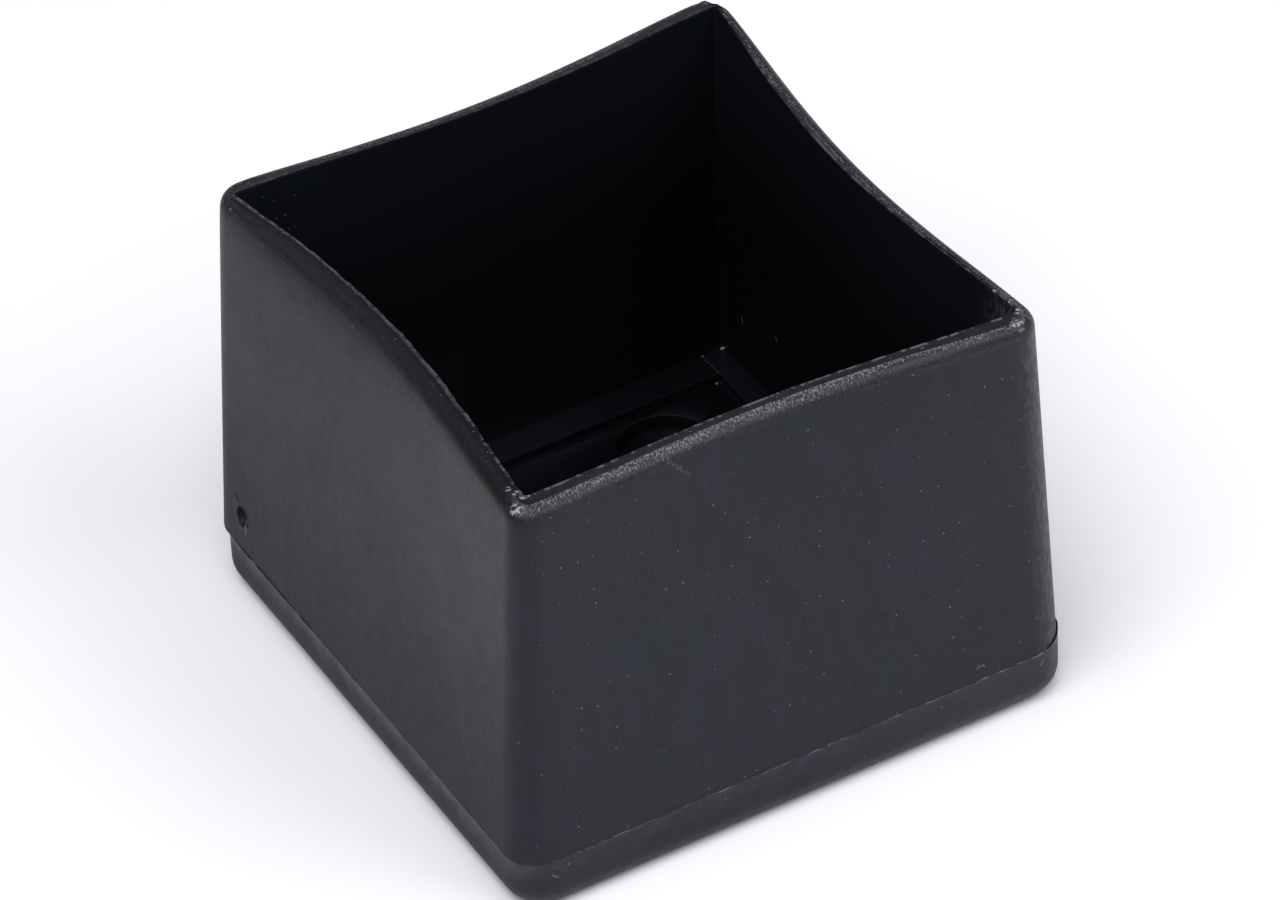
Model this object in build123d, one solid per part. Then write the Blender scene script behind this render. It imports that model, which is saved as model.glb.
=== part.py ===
"""Square push-on cap for the end of a 40 mm square tube, moulded in one piece.

The row frame: origin in the middle of the flat underside, +Z up towards the open
mouth.  Lengths are in millimetres.  The side facing -Y is called the front, and
the others go round as left (-X), back (+Y) and right (+X).
"""
from build123d import *
import math
import os

# ---------------------------------------------------------------- driving sizes
tube_width = 40.0            # outside of the square tube that the cap goes on
cap_height = 39.0            # underside to rim

foot_wall = 5.0              # wall thickness at its foot, beside the nominal tube
band_step = 0.08             # how far the foot band stands in from the walls' foot
band_height = 5.5            # underside to the parting line
band_bottom_radius = 2.2     # round along the bottom outside edge
corner_radius = 3.6          # outside vertical corners
rim_round = 1.15             # round along the outside of the rim

mouth_lead_in = 2.86         # how much wider than the tube the mouth is, corner to corner
floor_grip = 1.7             # how much narrower than the tube the core is at the floor
floor_thickness = 6.5        # underside to the ledge inside

# wall thickness at the rim, one value for each side
rim_wall_front = 2.3
rim_wall_left = 2.1
rim_wall_back = 1.7
rim_wall_right = 1.5
rim_corner_extra = 0.35      # the walls stand out this much more at the rim's corners

# inward sag of each wall, greatest at the middle of the rim
sag_front = 0.91
sag_left = 1.87
sag_back = 1.16
sag_right = 1.97
# share of each sag that starts straight from the corners; the rest starts gently
sag_spread_front = 0.1
sag_spread_left = 0.5
sag_spread_back = 0.0
sag_spread_right = 0.25
sag_growth = 2.0             # power by which the sag grows from the foot to the rim

# the soft mouth has settled out of square: how far each rim corner has moved
mouth_set_front_left = (0.55, 0.49)
mouth_set_back_left = (-0.05, 0.53)
mouth_set_back_right = (-0.75, -0.14)
mouth_set_front_right = (-0.08, -1.42)

# the two mould halves did not close quite in line: walls relative to the foot band
mismatch_x = -0.20
mismatch_y = 0.24

# square groove round the pad on the inside floor, and a round pocket in the pad
ledge_side = 1.95            # floor left between the groove and the left and right walls
ledge_end = 2.8              # the same at the front and back walls
groove_width = 0.9
groove_depth = 0.8
pocket_radius = 4.1
pocket_inset_x = 3.3         # pocket's rim to the pad's right edge
pocket_inset_y = 0.65        # pocket's rim to the pad's back edge
pocket_depth = 1.3

# scar left by the moulding gate, low on the left side near the back corner
gate_radius = 0.85
gate_depth = 0.7
gate_from_corner = 5.6
gate_above_band = 3.15

section_count = 5            # outlines drawn for each lofted surface
corner_pieces = 4            # short arcs that make each rounded corner of an outline

# the rim's round is a bevel with both its edges eased, which lies close to a quarter circle
bevel_share = 2 - math.sqrt(2)       # bevel that just touches the quarter circle, as a share of it
ease_share = 0.87                    # radius of the easing, as a share of the quarter circle

# -------------------------------------------------------------- derived values
wall_foot_width = tube_width + 2 * foot_wall
band_width = wall_foot_width - 2 * band_step
mouth_width = tube_width + mouth_lead_in
floor_width = tube_width - floor_grip
rim_bevel = rim_round * bevel_share
rim_ease = rim_round * ease_share
wall_centre = Vector(mismatch_x / 2, mismatch_y / 2)
band_centre = Vector(-mismatch_x / 2, -mismatch_y / 2)
groove_outer_x = floor_width - 2 * ledge_side
groove_outer_y = floor_width - 2 * ledge_end
pad_x = groove_outer_x - 2 * groove_width
pad_y = groove_outer_y - 2 * groove_width
pocket_centre_x = pad_x / 2 - pocket_inset_x - pocket_radius
pocket_centre_y = pad_y / 2 - pocket_inset_y - pocket_radius

# corners in order round the cap: sign in X, sign in Y, how far the mouth corner
# moved, and the rim walls that meet there (side wall, then front or back wall)
corners = [
    (-1, -1, mouth_set_front_left, rim_wall_left, rim_wall_front),
    (1, -1, mouth_set_front_right, rim_wall_right, rim_wall_front),
    (1, 1, mouth_set_back_right, rim_wall_right, rim_wall_back),
    (-1, 1, mouth_set_back_left, rim_wall_left, rim_wall_back),
]
# sides in the same order, each starting at the corner of the same number
sides = [
    (sag_front, sag_spread_front),
    (sag_right, sag_spread_right),
    (sag_back, sag_spread_back),
    (sag_left, sag_spread_left),
]


def square_points(width, centre):
    """Corner points of a plain square."""
    points = []
    for sign_x, sign_y, *_ in corners:
        points.append(centre + Vector(sign_x * width / 2, sign_y * width / 2))
    return points


def inner_mouth_points():
    """Corner points of the mouth, on the inside of the rim."""
    points = []
    for sign_x, sign_y, moved, _, _ in corners:
        points.append(Vector(sign_x * mouth_width / 2 + moved[0], sign_y * mouth_width / 2 + moved[1]))
    return points


def outer_mouth_points():
    """Corner points of the outside of the rim, before the corners are rounded."""
    points = []
    for inner, (sign_x, sign_y, _, wall_x, wall_y) in zip(inner_mouth_points(), corners):
        out_x = sign_x * (wall_x + rim_corner_extra)
        out_y = sign_y * (wall_y + rim_corner_extra)
        points.append(inner + Vector(out_x, out_y))
    return points


def sagging_side(start, end, sag, spread):
    """One side of an outline: a curve from corner to corner that dips inwards."""
    along = end - start
    inward = Vector(-along.Y, along.X).normalized()
    near = spread * sag
    middle = (8 - 4 * spread) / 3 * sag
    return Bezier(
        start,
        start + along * 0.25 + inward * near,
        start + along * 0.5 + inward * middle,
        start + along * 0.75 + inward * near,
        end,
    )


def in_pieces(edge):
    """A corner arc cut into short arcs of equal length; a side is left whole."""
    if edge.geom_type != GeomType.CIRCLE:
        return [edge]
    pieces = []
    for step in range(corner_pieces):
        pieces.append(edge.trim(step / corner_pieces, (step + 1) / corner_pieces))
    return pieces


def outline(foot, mouth, share, extra_sag, rounded):
    """Outline at a given share of the height, between the foot and the mouth."""
    points = [low + (high - low) * share for low, high in zip(foot, mouth)]
    growth = share ** sag_growth
    edges = []
    for number, (sag, spread) in enumerate(sides):
        start = points[number]
        end = points[(number + 1) % len(points)]
        edges.append(sagging_side(start, end, (sag + extra_sag) * growth, spread))
    face = Face(Wire(edges))
    if not rounded:
        return face
    smooth = fillet(face.vertices(), corner_radius)
    return Face(Wire([piece for edge in smooth.edges() for piece in in_pieces(edge)]))


def sagging_body(foot, mouth, foot_z, extra_sag=0, rounded=False):
    """Solid lofted through outlines from the foot up to the rim."""
    faces = []
    for number in range(section_count):
        share = number / (section_count - 1)
        height = foot_z + (cap_height - foot_z) * share
        faces.append(Pos(0, 0, height) * outline(foot, mouth, share, extra_sag, rounded))
    return loft(faces)


def is_rim_edge(edge):
    """Whether an edge runs round the rim: near the top, and hardly rising."""
    rise = abs((edge @ 1 - edge @ 0).Z)
    return edge.center().Z > cap_height - 1.5 * rim_bevel and rise < rim_bevel / 2


# ------------------------------------------------------------------- the walls
walls = sagging_body(
    square_points(wall_foot_width, wall_centre),
    outer_mouth_points(),
    band_height,
    extra_sag=rim_corner_extra,
    rounded=True,
)
walls = chamfer(walls.edges().filter_by(is_rim_edge), rim_bevel)
walls = fillet(walls.edges().filter_by(is_rim_edge), rim_ease)

# --------------------------------------------------------------- the foot band
band_outline = RectangleRounded(band_width, band_width, corner_radius)
band = extrude(Pos(band_centre.X, band_centre.Y) * band_outline, band_height)
band = fillet(band.edges().group_by(Axis.Z)[0], band_bottom_radius)

# ------------------------------------------------------------------ the inside
core = sagging_body(
    square_points(floor_width, Vector(0, 0)),
    inner_mouth_points(),
    floor_thickness,
)
cap = walls + band - core

floor_plane = Pos(0, 0, floor_thickness)
groove = Rectangle(groove_outer_x, groove_outer_y) - Rectangle(pad_x, pad_y)
cap -= extrude(floor_plane * groove, amount=-groove_depth)
pocket = Pos(pocket_centre_x, pocket_centre_y) * Circle(pocket_radius)
cap -= extrude(floor_plane * pocket, amount=-pocket_depth)

# ---------------------------------------------------------------- the gate scar
gate_plane = Plane(
    origin=(
        wall_centre.X - wall_foot_width / 2,
        wall_foot_width / 2 - gate_from_corner,
        band_height + gate_above_band,
    ),
    z_dir=(-1, 0, 0),
)
cap -= extrude(gate_plane * Circle(gate_radius), amount=gate_depth, both=True)

cap = cap.solid()
cap.label = "end_cap"

os.makedirs("parts", exist_ok=True)
export_step(cap, "parts/end_cap.step")
print("end_cap volume", round(cap.volume), "mm3, size", cap.bounding_box().size)
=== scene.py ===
# %% [markdown]
# # A square push-on cap for the end of a tube
#
# The cap is one soft black moulding: a square cup with a thick foot, pushed over the end of
# a square tube so that its flat underside becomes the tube's foot.  The exact frame is
# loaded first, and everything below is placed in that frame, in metres.

# %% The frame
import math

import bmesh
import bpy
from mathutils import Matrix, Vector, noise


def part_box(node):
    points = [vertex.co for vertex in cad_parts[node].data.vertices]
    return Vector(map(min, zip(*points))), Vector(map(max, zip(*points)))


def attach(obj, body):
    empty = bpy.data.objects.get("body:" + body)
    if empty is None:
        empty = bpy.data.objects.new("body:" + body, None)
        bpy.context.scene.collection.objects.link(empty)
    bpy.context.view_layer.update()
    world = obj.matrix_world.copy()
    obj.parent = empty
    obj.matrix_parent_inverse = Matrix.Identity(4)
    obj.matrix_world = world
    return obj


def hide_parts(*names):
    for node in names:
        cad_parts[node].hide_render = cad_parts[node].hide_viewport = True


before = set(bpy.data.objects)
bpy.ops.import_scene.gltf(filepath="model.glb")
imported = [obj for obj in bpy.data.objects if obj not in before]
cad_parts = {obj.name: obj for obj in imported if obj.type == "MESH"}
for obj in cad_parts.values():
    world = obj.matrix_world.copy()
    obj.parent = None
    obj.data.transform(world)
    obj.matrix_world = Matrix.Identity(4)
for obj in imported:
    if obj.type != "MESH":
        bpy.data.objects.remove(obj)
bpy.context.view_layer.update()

# %% [markdown]
# ## Helpers
#
# Sizes are written in millimetres, because that is how a moulder thinks of such a part.
# Finished meshes are scaled to metres once, at the end of their making.  Colours are
# written as the hex values that a colour picker shows and turned to linear light here.

# %% Units and colours
mm = 0.001


def linear(hex_colour):
    """A colour picker's hex value as linear red, green, blue and alpha."""
    channels = []
    for start in (1, 3, 5):
        value = int(hex_colour[start:start + 2], 16) / 255
        if value <= 0.04045:
            channels.append(value / 12.92)
        else:
            channels.append(((value + 0.055) / 1.055) ** 2.4)
    return (*channels, 1.0)


# %% [markdown]
# ## Camera
#
# The view is a long lens looking down at one corner of the cap, so that the sides stay
# nearly parallel.  It is given as an azimuth, an elevation and a slight roll about a point
# just in front of the middle of the cap.

# %% Camera
camera_target = Vector((-0.063, -1.471, 19.5)) * mm
camera_azimuth = math.radians(-28.357)
camera_elevation = math.radians(40.961)
camera_roll = math.radians(-2.912)
camera_distance = 814.4 * mm
camera_lens = 293.44

back = Vector((
    math.sin(camera_azimuth) * math.cos(camera_elevation),
    -math.cos(camera_azimuth) * math.cos(camera_elevation),
    math.sin(camera_elevation),
))
camera_data = bpy.data.cameras.new("camera")
camera_data.lens = camera_lens
camera_data.sensor_width = 36.0
camera_data.clip_start = 0.01
camera = bpy.data.objects.new("camera", camera_data)
bpy.context.scene.collection.objects.link(camera)
turn = back.to_track_quat("Z", "Y").to_matrix().to_4x4()
camera.matrix_world = (
    Matrix.Translation(camera_target + back * camera_distance)
    @ turn
    @ Matrix.Rotation(camera_roll, 4, "Z")
)
bpy.context.scene.camera = camera
print("camera at", [round(value, 4) for value in camera.matrix_world.translation])

# %% [markdown]
# ## Sizes of the cap
#
# The cap starts as the square shape that its mould gave it.  Since then its soft mouth has
# settled: each wall sags inwards, most at the middle of its rim, and the four corners of
# the mouth have crept out of square.  These are the sizes of both.

# %% Sizes, in millimetres
cap_height = 39.0
foot_width = 50.0
band_width = 49.84
band_height = 5.5
band_bottom_round = 2.2
corner_round = 3.6
rim_round = 1.15
floor_height = 6.5
floor_width = 38.3
mouth_width = 42.86
inner_corner_round = 0.25

# How much more the outside sags than the inside, for each side.
rim_sag_extra = {"front": 0.35, "right": 0.0, "back": 0.35, "left": 0.1}
# In the order of the corners given below: how much further the outside stands out at the
# rim, along x and along y, and how tight the upright corner is at the parting line and at
# the rim.
rim_corner_extra = [(0.0, 0.0), (-0.15, -0.1), (-0.05, 0.2), (0.05, -0.1)]
corner_at_foot = [2.6, 3.6, 3.6, 3.6]
corner_at_rim = [2.0, 2.6, 2.6, 2.8]
# In the same order: how much of the rim's full round is left where the wall is thin, and
# how far the mouth's inside edge is drawn out.
round_left = [1.0, 0.7, 0.45, 0.5]
mouth_drawn = [(0.0, 0.0), (0.0, 0.0), (0.5, 0.4), (-0.5, 0.0)]

# Corners in order round the cap: front left, front right, back right, back left.
corner_signs = [(-1, -1), (1, -1), (1, 1), (-1, 1)]
mouth_shift = [(0.78, 0.36), (0.23, -1.46), (-0.60, 0.03), (-0.05, 0.70)]
# Wall thickness at the rim, sag, and how evenly the sag spreads, for each side in order.
side_names = ["front", "right", "back", "left"]
rim_wall = {"front": 2.3, "right": 1.5, "back": 1.7, "left": 2.1}
sag = {"front": 0.91, "right": 1.97, "back": 1.16, "left": 1.87}
sag_spread = {"front": 0.1, "right": 0.25, "back": 0.0, "left": 0.5}
walls_centre = Vector((-0.10, 0.12))
front_foot_out = 0.12
band_centre = Vector((0.10, -0.12))
# The top of the left wall leans in: from this height up, over this bend, at this slope.
lean_start = 35.8
lean_bend = 0.8
left_lean = 0.2
# How far from a corner of the cap its own changes to the rim and the lean are felt.
round_reach = 12.0
drawn_reach = 7.0
lean_reach = 10.0

# The groove round the pad on the inside floor, and the pocket in the pad.
groove_half = Vector((17.2, 16.35))
groove_width = 0.9
groove_depth = 0.8
pocket_centre = Vector((8.9, 10.7))
pocket_radius = 4.1
pocket_depth = 1.3

side_columns = 144
corner_columns = 20
lip_round = 0.1
box_low, box_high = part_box("end_cap")
box_sizes = [round((end - start) / mm, 2) for start, end in zip(box_low, box_high)]
print("the cap's box in the frame, in mm:", box_sizes)

# %% [markdown]
# ## How the walls settled
#
# Both skins of the wall, outer and inner, are moved by one rule.  A point of the true
# square is first carried to the leaning, slightly skewed outline of its height, and then
# moved inwards by the sags of the four sides, each fading out towards the opposite side.
# Writing the rule once keeps the two skins a true wall apart.  The outside's upright
# corners are made tighter first, because the real ones sharpen as they rise.

# %% The settling rule
def square_corners(width, centre=Vector((0, 0))):
    """The four corners of a plain square."""
    return [centre + Vector(signs) * width / 2 for signs in corner_signs]


inner_mouth = [
    Vector(signs) * mouth_width / 2 + Vector(shift)
    for signs, shift in zip(corner_signs, mouth_shift)
]
outer_mouth = []
for number, point in enumerate(inner_mouth):
    across_x = rim_wall["left" if number in (0, 3) else "right"] + rim_corner_extra[number][0]
    across_y = rim_wall["front" if number in (0, 1) else "back"] + rim_corner_extra[number][1]
    outer_mouth.append(point + Vector((
        corner_signs[number][0] * across_x,
        corner_signs[number][1] * across_y,
    )))


def dip(name, t, extra):
    """How far a side's line has sagged at t, from 0 at its start to 1 at its end."""
    spread = sag_spread[name]
    near = 4 * t * (1 - t) ** 3 + 4 * t ** 3 * (1 - t)
    middle = 6 * t ** 2 * (1 - t) ** 2
    return (sag[name] + extra[name]) * (spread * near + (8 - 4 * spread) / 3 * middle)


def stretched(value, half, new_half, kept):
    """Carry a coordinate to a narrower square, keeping the round corners their size."""
    reach = half - kept
    if abs(value) <= reach:
        return value * (new_half - kept) / reach
    return math.copysign(new_half - (half - abs(value)), value)


def tightened(x, y, half, radius):
    """Carry a point of a round corner to its share of the path round a tighter corner."""
    reach = half - corner_round
    over_x, over_y = abs(x) - reach, abs(y) - reach
    if over_x <= 0 or over_y <= 0:
        return x, y
    straight = corner_round - radius
    radius -= corner_round - math.hypot(over_x, over_y)
    arc = math.pi / 2 * radius
    path = math.atan2(over_y, over_x) / (math.pi / 2) * (2 * straight + arc)
    angle = min(max((path - straight) / radius, 0.0), math.pi / 2)
    over_x = straight + radius * math.cos(angle) - max(path - straight - arc, 0.0)
    over_y = straight + radius * math.sin(angle) - max(straight - path, 0.0)
    return math.copysign(reach + over_x, x), math.copysign(reach + over_y, y)


def corner_radius(x, y, z):
    """Radius of the upright corner nearest to a point, at its height."""
    number = corner_signs.index((1 if x > 0 else -1, 1 if y > 0 else -1))
    at_foot = corner_at_foot[number]
    if z < band_height:
        return at_foot + (corner_round - at_foot) * (1 - z / band_height)
    share = (z - band_height) / (cap_height - band_height)
    return at_foot + (corner_at_rim[number] - at_foot) * share


def near_corner(x, y, half, number, reach):
    """1 at a corner of the cap, fading to 0 at the given distance from it."""
    away = (Vector((x, y)) - Vector(corner_signs[number]) * half).length
    return max(1 - away / reach, 0.0)


def settled(x, y, share, half, foot, mouth, extra, kept):
    """Where a point of the true square goes, at this share of the height."""
    low = [start.lerp(end, share) for start, end in zip(foot, mouth)]
    half_x = ((low[1] - low[0]).length + (low[2] - low[3]).length) / 4
    half_y = ((low[2] - low[1]).length + (low[3] - low[0]).length) / 4
    u = stretched(x, half, half_x, kept) / half_x
    v = stretched(y, half, half_y, kept) / half_y
    place = (
        low[0] * (1 - u) * (1 - v) + low[1] * (1 + u) * (1 - v)
        + low[2] * (1 + u) * (1 + v) + low[3] * (1 - u) * (1 + v)
    ) / 4
    left_right, front_back = (1 + u) / 2, (1 + v) / 2
    along = {
        "front": left_right, "right": front_back,
        "back": 1 - left_right, "left": 1 - front_back,
    }
    weight = {
        "front": 1 - front_back, "right": left_right,
        "back": front_back, "left": 1 - left_right,
    }
    for number, name in enumerate(side_names):
        chord = low[(number + 1) % 4] - low[number]
        inward = Vector((-chord.y, chord.x)).normalized()
        t = min(max(along[name], 0.0), 1.0)
        place += inward * dip(name, t, extra) * weight[name] * share ** 2
    return place


wall_foot = square_corners(foot_width, walls_centre)
for number in (0, 1):
    wall_foot[number].y -= front_foot_out
core_foot = square_corners(floor_width)
for name in side_names:
    print(name, "sags", sag[name], "mm at the middle of its rim")

# %% [markdown]
# ## The two skins
#
# Each skin starts as a block.  Its upright edges are bevelled into round corners, its
# sides are cut into fine columns, and flat cuts give it rings where the shape needs them:
# close together at the parting line and the rim, and further apart up the plain wall.

# %% Blocks with round corners
def is_upright(edge):
    """Whether an edge runs up rather than across."""
    ends = [vert.co for vert in edge.verts]
    return abs(ends[0].z - ends[1].z) > 0.9 * (ends[0] - ends[1]).length


def rounded(shape, edges, radius, steps):
    """Round some edges, with this many faces across each."""
    bmesh.ops.bevel(
        shape, geom=edges, offset=radius, segments=steps, profile=0.5, affect="EDGES",
        material=-1, clamp_overlap=False,
    )


def block(width, low, high, corner, columns, corner_steps):
    """A square block with round upright corners and its flat sides cut into columns."""
    shape = bmesh.new()
    bmesh.ops.create_cube(shape, size=1.0)
    bmesh.ops.scale(shape, vec=(width, width, high - low), verts=shape.verts)
    bmesh.ops.translate(shape, vec=(0, 0, (low + high) / 2), verts=shape.verts)
    rounded(shape, [edge for edge in shape.edges if is_upright(edge)], corner, corner_steps)
    flat = width - 2 * corner
    long_edges = [
        edge for edge in shape.edges
        if not is_upright(edge) and edge.calc_length() > 0.9 * flat
    ]
    bmesh.ops.subdivide_edges(shape, edges=long_edges, cuts=columns - 1, use_grid_fill=False)
    return shape


def end_face(shape, direction):
    """The large face that closes a block at its top (1) or bottom (-1)."""
    def rank(face):
        return round(face.normal.z * direction, 3), face.calc_area()

    return max(shape.faces, key=rank)


def cut_rings(shape, heights):
    """Flat cuts right through the block, one ring of new points for each."""
    for height in heights:
        bmesh.ops.bisect_plane(
            shape, geom=[*shape.verts, *shape.edges, *shape.faces], dist=1e-6,
            plane_co=(0, 0, height), plane_no=(0, 0, 1),
        )


def spaced(start, end, step):
    """Evenly spaced heights between two ends, about a step apart."""
    count = max(1, round((end - start) / step))
    return [start + (end - start) * number / count for number in range(1, count)]


outer = block(foot_width, 0.0, cap_height, corner_round, side_columns, corner_columns)
for face in outer.faces:
    face.normal_update()
rounded(outer, list(end_face(outer, -1).edges), band_bottom_round, 8)
rounded(outer, list(end_face(outer, 1).edges), rim_round, 8)
seam_rings = [band_height + step for step in (-0.35, -0.16, -0.03, 0.0, 0.03, 0.16, 0.4)]
band_rings = [3.1, 3.6, 4.0, 4.35, 4.65, 4.9]
cut_rings(outer, band_rings + seam_rings)
cut_rings(outer, spaced(seam_rings[-1], cap_height - rim_round, 1.1))
bmesh.ops.delete(outer, geom=[end_face(outer, 1)], context="FACES_ONLY")
for face in outer.faces:
    face.normal_update()
print("outer skin", len(outer.verts), "points", len(outer.faces), "faces")


# %% [markdown]
# ## The gate scar
#
# The mould was filled through a small gate, low on the left side near the back corner.
# When the runner was torn off it left a round pit with a ragged collar, highest on the side
# that tore last.  A patch of the wall is taken out, a ring is set in its place, and the
# ring is extruded over the collar and down into the pit.

# %% Extruding and filling
def extruded(shape, edges, move=(0, 0, 0), factors=(1, 1, 1), about=(0, 0, 0)):
    """Extrude a loop of edges, scale it about a point, move it, and give its new edges."""
    made = bmesh.ops.extrude_edge_only(shape, edges=edges)["geom"]
    points = [item for item in made if isinstance(item, bmesh.types.BMVert)]
    bmesh.ops.scale(shape, vec=factors, verts=points, space=Matrix.Translation(-Vector(about)))
    bmesh.ops.translate(shape, vec=move, verts=points)
    return [item for item in made if isinstance(item, bmesh.types.BMEdge)
            and all(vert in set(points) for vert in item.verts)]


def filled(shape, edges, normal=(0, 0, 0)):
    """Fill flat edges, holes left open, with triangles."""
    return bmesh.ops.triangle_fill(
        shape, use_beauty=True, use_dissolve=False, edges=edges, normal=normal)["geom"]


# %% Gate scar
gate_centre = Vector((-foot_width / 2, 19.25, 9.05))
gate_radius = 0.80
gate_stretch = 1.18
torn_last = Vector((0.0, -0.8, -0.6))
patch_half_width = 1.35
patch_half_height = 1.7
patch = [
    face for face in outer.faces
    if face.normal.x < -0.99
    and abs(face.calc_center_median().y - gate_centre.y) < patch_half_width
    and abs(face.calc_center_median().z - gate_centre.z) < patch_half_height
]
patch_edges = [
    edge for face in patch for edge in face.edges
    if sum(other in patch for other in edge.link_faces) == 1
]
bmesh.ops.delete(outer, geom=patch, context="FACES")
collar_share = 1.22
ring = bmesh.ops.create_circle(
    outer, cap_ends=False, segments=40, radius=gate_radius * collar_share,
    matrix=Matrix.Translation(gate_centre) @ Matrix.Rotation(math.radians(-90), 4, "Y"),
)["verts"]
bmesh.ops.scale(outer, vec=(1, 1, gate_stretch), verts=ring, space=Matrix.Translation(-gate_centre))
loop = list({edge for vert in ring for edge in vert.link_edges})
filled(outer, patch_edges + loop, normal=(-1, 0, 0))
# Each step: radius as a share of the last one, depth below it, and how ragged the tear is.
gate_steps = [
    (0.88, -0.07, 0.10),
    (0.93, 0.05, 0.08),
    (0.97, 0.25, 0.03),
    (0.82, 0.26, 0.05),
    (0.5, 0.08, 0.02),
]
for share, depth, ragged in gate_steps:
    loop = extruded(outer, loop, move=(depth, 0, 0), factors=(1, share, share), about=gate_centre)
    for vert in {vert for edge in loop for vert in edge.verts}:
        side = (vert.co - gate_centre).normalized()
        tear = noise.noise(side * 2.3 + Vector((0.4, 0.0, depth)))
        lean = max(side.dot(torn_last), 0.0) ** 2 if depth < 0.1 else 0.0
        vert.co.x -= ragged * (1.1 * lean + 0.9 * tear)
        vert.co += Vector((0, side.y, side.z)) * ragged * 0.5 * tear
bmesh.ops.contextual_create(outer, geom=loop)
print("gate scar of", len(ring), "sides set into a patch of", len(patch), "faces")


# %% [markdown]
# ## The inside
#
# The space inside was formed by a steel core, which left nearly sharp corners, a ledge, a
# shallow square groove round a pad, and a round pocket in the pad.  The core's skin is a
# second block with its faces turned round.  At its top three small extrusions roll the
# skin over the inner edge of the rim.

# %% Inner skin
def outward(x, y, half, corner):
    """Direction straight out from a round-cornered square at a point of its outline."""
    over_x = max(abs(x) - (half - corner), 0.0)
    over_y = max(abs(y) - (half - corner), 0.0)
    return Vector((math.copysign(over_x, x), math.copysign(over_y, y))).normalized()


def open_edges(shape, height):
    """Edges of the open loop at this height."""
    return [
        edge for edge in shape.edges
        if edge.is_boundary and abs((edge.verts[0].co.z + edge.verts[1].co.z) / 2 - height) < 1e-4
    ]


inner_top = cap_height - lip_round
inner = block(
    floor_width, floor_height, inner_top, inner_corner_round, side_columns, corner_columns,
)
for face in inner.faces:
    face.normal_update()
cut_rings(inner, spaced(floor_height, inner_top, 1.8) + [floor_height + 0.12, inner_top - 0.3])
bmesh.ops.delete(inner, geom=[end_face(inner, -1), end_face(inner, 1)], context="FACES_ONLY")
# Each step of the roll over the edge: how far out and how far up.
lip_steps = [(0.03, 0.07), (0.07, 0.03), (0.15, 0.0)]
lip_height = inner_top
for step_out, step_up in lip_steps:
    made = bmesh.ops.extrude_edge_only(inner, edges=open_edges(inner, lip_height))
    for vert in (item for item in made["geom"] if isinstance(item, bmesh.types.BMVert)):
        out = outward(vert.co.x, vert.co.y, floor_width / 2, inner_corner_round)
        vert.co += (out * step_out).to_3d()
        vert.co.z += step_up
    lip_height += step_up
print("inner skin", len(inner.verts), "points", len(inner.faces), "faces")

# %% [markdown]
# ### Groove, pad and pocket
#
# One square loop is drawn at the groove's outer edge and extruded down, inwards and up
# again, which gives the groove and leaves the pad's edge open.  The flat stretches on both
# sides of it are then filled.  The pocket is a circle in the pad, extruded down.

# %% Groove, pad and pocket
square = bmesh.ops.create_grid(inner, x_segments=1, y_segments=1, size=1.0)["verts"]
bmesh.ops.scale(inner, vec=(groove_half.x, groove_half.y, 1.0), verts=square)
bmesh.ops.translate(inner, vec=(0, 0, floor_height), verts=square)
square_face = square[0].link_faces[0]
groove_edges = list(square_face.edges)
bmesh.ops.delete(inner, geom=[square_face], context="FACES_ONLY")
pad_half = groove_half - Vector((groove_width, groove_width))
narrower = (pad_half.x / groove_half.x, pad_half.y / groove_half.y, 1.0)
wall_foot_edges = [
    edge for edge in open_edges(inner, floor_height) if edge not in set(groove_edges)
]
loop = extruded(inner, groove_edges, move=(0, 0, -groove_depth))
loop = extruded(inner, loop, factors=narrower)
pad_edges = extruded(inner, loop, move=(0, 0, groove_depth))
filled(inner, wall_foot_edges + groove_edges)

circle = bmesh.ops.create_circle(inner, cap_ends=False, segments=72, radius=pocket_radius)["verts"]
bmesh.ops.translate(inner, vec=(*pocket_centre, floor_height), verts=circle)
circle_edges = list({edge for vert in circle for edge in vert.link_edges})
filled(inner, pad_edges + circle_edges)
loop = extruded(inner, circle_edges, move=(0, 0, -pocket_depth))
bmesh.ops.contextual_create(inner, geom=loop)
soft_edges = groove_edges + pad_edges + circle_edges
soft_edge_width = 0.09
rounded(inner, soft_edges, soft_edge_width, 2)
print("inside", len(inner.verts), "points", len(inner.faces), "faces")

# %% [markdown]
# ## Settling the skins
#
# Every point is now carried from the true square to where the soft cap has it.  Below the
# parting line lies the band, moulded in the other half of the mould and a little out of
# line with the walls.  Where the two halves met, plastic was squeezed out as a thin fin of
# flash, higher in some places than in others, and on the left much of it has been peeled
# back over the band.  The top of the left wall leans in further than its sag, and where the
# wall is thin at a rim corner the round of its edge gets smaller, so that the two skins
# never cross.  Lengths round the cap start at the back right corner and run by the back,
# left, front and right, so that any place on the skin has two plain coordinates.

# %% Lengths along and across the skin
side_length = foot_width - 2 * corner_round
corner_length = math.pi / 2 * corner_round
lap = side_length + corner_length
girth = 4 * lap


def length_along(x, y, half, corner):
    """How far round the cap a point lies, starting at the right end of the back side."""
    reach = half - corner
    if abs(x) <= reach + 1e-6:
        number, run = (0, reach - x) if y > 0 else (2, x + reach)
        return number * lap + run / (2 * reach) * side_length
    if abs(y) <= reach + 1e-6:
        number, run = (1, reach - y) if x < 0 else (3, y + reach)
        return number * lap + run / (2 * reach) * side_length
    angle = math.atan2(abs(y) - reach, abs(x) - reach) / (math.pi / 2)
    if x < 0:
        number, share = (0, 1 - angle) if y > 0 else (1, angle)
    else:
        number, share = (2, 1 - angle) if y < 0 else (3, angle)
    return number * lap + side_length + share * corner_length


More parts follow.
